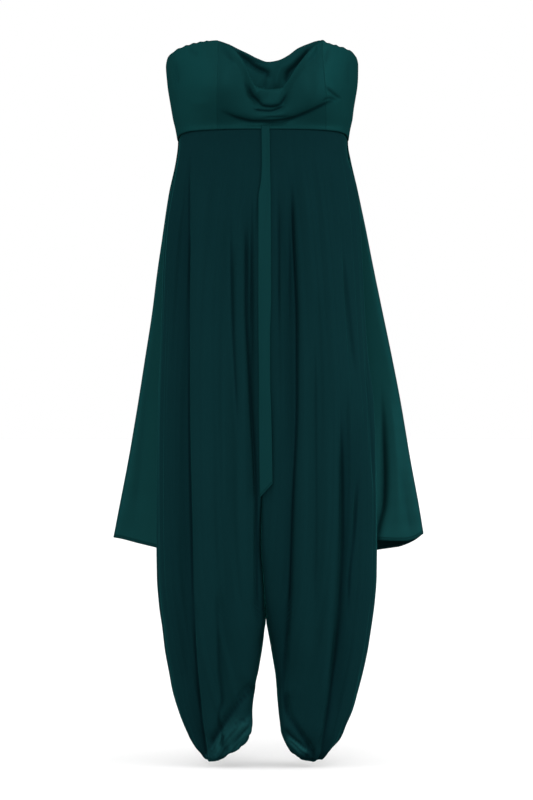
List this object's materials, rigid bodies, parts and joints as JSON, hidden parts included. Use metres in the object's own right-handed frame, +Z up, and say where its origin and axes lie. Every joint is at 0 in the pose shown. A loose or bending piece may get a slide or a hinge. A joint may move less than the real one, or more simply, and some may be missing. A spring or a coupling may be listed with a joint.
{
  "type": "strapless harem jumpsuit with overskirt",
  "caption": "Hollow strapless jumpsuit of dark green satin-back crepe, filled out as worn: draped bodice, tulip legs, open overskirt and sash.",
  "frame": {"origin": "centre of the under-bust seam, where the boned bodice grips the wearer's ribs and holds the garment up", "axes": "+Z up along the body, -Y towards the wearer's front, +X towards the wearer's left hand"},
  "size_m": [0.5248, 0.3277, 1.1998],
  "materials": {
    "satin": "dark green satin side of a satin-back crepe, soft sheen",
    "crepe": "dark green crepe side of the same cloth, matte"
  },
  "bodies": {
    "root": {"bodice_centre_front": "satin", "cowl_drape": "satin", "bodice_side_front_left": "satin", "bodice_side_front_right": "satin", "bodice_back": "satin", "leg_front_left": "crepe", "leg_front_right": "crepe", "leg_back_left": "crepe", "leg_back_right": "crepe", "overskirt": "satin", "sash": "satin"}
  },
  "joints": []
}
